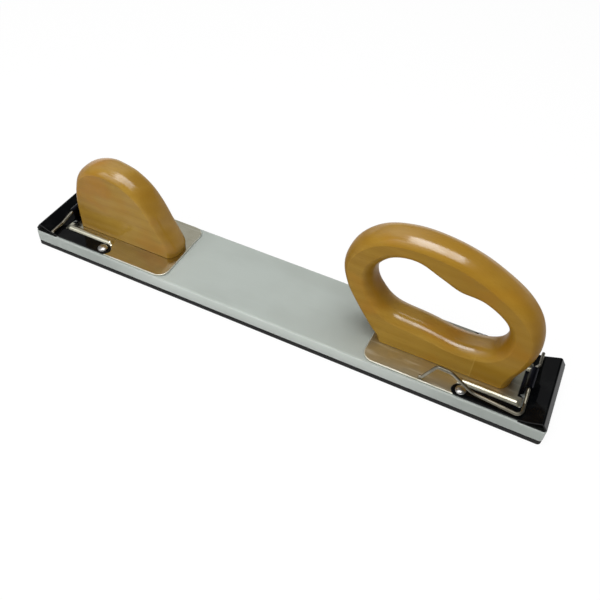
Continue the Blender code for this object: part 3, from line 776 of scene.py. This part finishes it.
# the wire's end ring is drawn along each straight and spun round each corner
def makeLever(name, s, body, turned):
    points = [Vector(point) * mm for point, radius in s["corners"]]
    radii = [radius * mm for point, radius in s["corners"]]
    bm = bmesh.new()
    facing = (points[1] - points[0]).to_track_quat("Z", "Y").to_matrix().to_4x4()
    bmesh.ops.create_circle(bm, cap_ends=False, segments=s["sides"], radius=s["wire"],
                            matrix=Matrix.Translation(points[0]) @ facing)
    ring = bm.verts[:] + bm.edges[:]
    caps = [bmesh.ops.edgeloop_fill(bm, edges=bm.edges[:])["faces"][0]]
    here = points[0]
    for index in range(1, len(points)):
        reach = 0.0
        last = index == len(points) - 1
        if not last:
            toBack = points[index - 1] - points[index]
            toNext = points[index + 1] - points[index]
            back = toBack.normalized()
            ahead = toNext.normalized()
            half = back.angle(ahead) / 2
            reach = min(radii[index] / math.tan(half), min(toBack.length, toNext.length) / 2)
        there = points[index] + (here - points[index]).normalized() * reach
        made = bmesh.ops.extrude_edge_only(bm, edges=newParts(ring, bmesh.types.BMEdge))["geom"]
        fresh = newParts(made, bmesh.types.BMVert)
        bmesh.ops.translate(bm, vec=there - here, verts=fresh)
        drawn = newParts(made, bmesh.types.BMEdge)
        ring = fresh + [edge for edge in drawn if set(edge.verts) <= set(fresh)]
        here = there
        if not last:
            centre = points[index] + (back + ahead).normalized() * (reach / math.cos(half))
            axis = (-back).cross(ahead).normalized()
            ring = bmesh.ops.spin(bm, geom=ring, cent=centre, axis=axis, angle=math.pi - 2 * half,
                                  steps=s["bendSteps"])["geom_last"]
            here = points[index] + ahead * reach
    caps += bmesh.ops.edgeloop_fill(bm, edges=newParts(ring, bmesh.types.BMEdge))["faces"]
    rims = [edge for face in caps for edge in face.edges]
    bmesh.ops.bevel(bm, geom=rims, offset=s["tipRound"], offset_type="OFFSET", segments=s["tipSteps"],
                    profile=0.5, affect="EDGES", material=-1)
    bmesh.ops.recalc_face_normals(bm, faces=bm.faces[:])
    bmesh.ops.translate(bm, vec=s["pivot"], verts=bm.verts[:])
    if turned:
        turnHalf(bm)
    addPiece(name, bm, brightWire, body, body)


makeLever("rearLever", leverSet, "rear_lever", False)
makeLever("frontLever", leverSet, "front_lever", True)
print("levers made")


# rivets: a domed head over the jaw's arm, a shank and a spread tail
rivetSet = dict(at=(157.05 * mm, 28.4 * mm), seat=17.7 * mm, head=4.2 * mm, dome=2.0 * mm, shank=2.0 * mm,
                tail=3.5 * mm, tailLow=4.6 * mm, tailHigh=5.8 * mm, steps=40, domeSteps=10)


def makeRivet(name, s, node, side, turned):
    profile = []
    for step in range(s["domeSteps"] + 1):
        turn = math.pi / 2 * step / s["domeSteps"]
        profile.append((s["head"] * math.sin(turn), s["seat"] + s["dome"] * math.cos(turn)))
    profile += [(s["shank"], s["seat"]), (s["shank"], s["tailHigh"]), (s["tail"], s["tailHigh"]),
                (s["tail"], s["tailLow"]), (0.0, s["tailLow"])]
    bm = bmesh.new()
    verts = [bm.verts.new((radius, 0.0, height)) for radius, height in profile]
    edges = [bm.edges.new(pair) for pair in zip(verts, verts[1:])]
    bmesh.ops.spin(bm, geom=verts + edges, cent=(0, 0, 0), axis=(0, 0, 1), angle=math.tau, steps=s["steps"],
                   use_merge=True)
    mergeDoubles(bm)
    bmesh.ops.recalc_face_normals(bm, faces=bm.faces[:])
    bmesh.ops.translate(bm, vec=(s["at"][0], side * s["at"][1], 0.0), verts=bm.verts[:])
    if turned:
        turnHalf(bm)
    addPiece(name, bm, zinc, "board", node)


for word, turned in (("rear", False), ("front", True)):
    for side, place in ((-1.0, "lever_side"), (1.0, "plain_side")):
        makeRivet(f"{word}Rivet.{place}", rivetSet, f"{word}_rivet_{place}", side, turned)
for nodeName, node in nodes.items():           # fasteners inside the board keep their CAD shape
    if "screw" in nodeName or "washer" in nodeName:
        node.data.materials.clear()
        node.data.materials.append(zinc)
print("fasteners made")


# Plain pale floor, soft light from above and a pale surround that darkens overhead. Each span is a range of
# a direction's x, y or z. The fill lights the object, and the rest shows in its gloss and behind it.
studioSet = dict(floorHalf=6.0, floorBounce=0.7, floorShade=0.1, floorGlow=0.92,
                 fillFront=0.36, fillBack=0.2, fillSpan=(-0.7, 0.3),
                 paleSpan=(0.0, 0.25), horizon=0.2, darkSpan=(0.2, 0.6),
                 upperLeft=0.45, upperRight=0.03, sideSpan=(-0.4, 0.1),
                 upperFront=0.3, depthSpan=(-0.2, 0.3),
                 key=dict(at=(0.06, -0.08, 1.25), aim=(0.06, -0.08, 0.03), size=(0.85, 0.95), power=10.0),
                 wide=dict(at=(-0.55, -0.85, 1.05), aim=(0.0, 0.0, 0.03), size=(1.1, 1.0), power=5.0))


def shownRays(tree):
    rays = tree.nodes.new("ShaderNodeLightPath").outputs
    kinds = ("Is Camera Ray", "Is Glossy Ray", "Is Transmission Ray")
    camera, glossy, through = (Field(tree, rays[kind]) for kind in kinds)
    seen = camera + glossy + through
    return seen.calc("MINIMUM", seen, 1.0)


def makeFloor(s):
    bm = bmesh.new()
    bmesh.ops.create_grid(bm, x_segments=1, y_segments=1, size=s["floorHalf"])
    mesh = bpy.data.meshes.new("floor")
    bm.to_mesh(mesh)
    bm.free()
    floor = bpy.data.objects.new("floor", mesh)
    scene.collection.objects.link(floor)
    look = bpy.data.materials.new("paleFloor")
    look.use_nodes = True
    tree = look.node_tree
    tree.nodes.clear()
    seen = shownRays(tree)
    bounce = seen.node("ShaderNodeBsdfDiffuse", {}, {"Color": (s["floorBounce"],) * 3 + (1,)})
    shade = seen.node("ShaderNodeBsdfDiffuse", {}, {"Color": (s["floorShade"],) * 3 + (1,)})
    glow = seen.node("ShaderNodeEmission", {}, {"Color": (1, 1, 1, 1), "Strength": s["floorGlow"]})
    lit = seen.node("ShaderNodeAddShader", {}, {0: shade, 1: glow})
    both = seen.node("ShaderNodeMixShader", {}, {0: seen, 1: bounce, 2: lit})
    output = tree.nodes.new("ShaderNodeOutputMaterial")
    tree.links.new(both.socket, output.inputs["Surface"])
    mesh.materials.append(look)


def makeWorld(s):
    world = bpy.data.worlds.new("studio")
    scene.world = world
    world.use_nodes = True
    tree = world.node_tree
    tree.nodes.clear()
    seen = shownRays(tree)
    spot = tree.nodes.new("ShaderNodeTexCoord")
    direction = Field(tree, spot.outputs["Generated"])
    away = partOf(direction, "Y")
    height = partOf(direction, "Z")
    upper = between(partOf(direction, "X"), *s["sideSpan"], s["upperLeft"], s["upperRight"])
    upper = upper * between(away, *s["depthSpan"], s["upperFront"], 1.0)
    above = between(height, *s["darkSpan"], s["horizon"], upper)
    shown = between(height, *s["paleSpan"], 1.0, above)
    fill = between(away, *s["fillSpan"], s["fillFront"], s["fillBack"])
    strength = seen * shown + (1.0 - seen) * fill
    light = seen.node("ShaderNodeBackground", {}, {"Color": (1, 1, 1, 1), "Strength": strength})
    output = tree.nodes.new("ShaderNodeOutputWorld")
    tree.links.new(light.socket, output.inputs["Surface"])


def makeLamp(name, s):
    data = bpy.data.lights.new(name, "AREA")
    data.shape = "RECTANGLE"
    data.size, data.size_y = s["size"]
    data.energy = s["power"]
    lamp = bpy.data.objects.new(name, data)
    lamp.location = s["at"]
    lamp.rotation_euler = (Vector(s["aim"]) - Vector(s["at"])).to_track_quat("-Z", "Y").to_euler()
    scene.collection.objects.link(lamp)


makeFloor(studioSet)
makeWorld(studioSet)
makeLamp("key", studioSet["key"])
makeLamp("wide", studioSet["wide"])
scene.view_settings.view_transform = "Standard"
print("studio set")

bpy.context.view_layer.update()
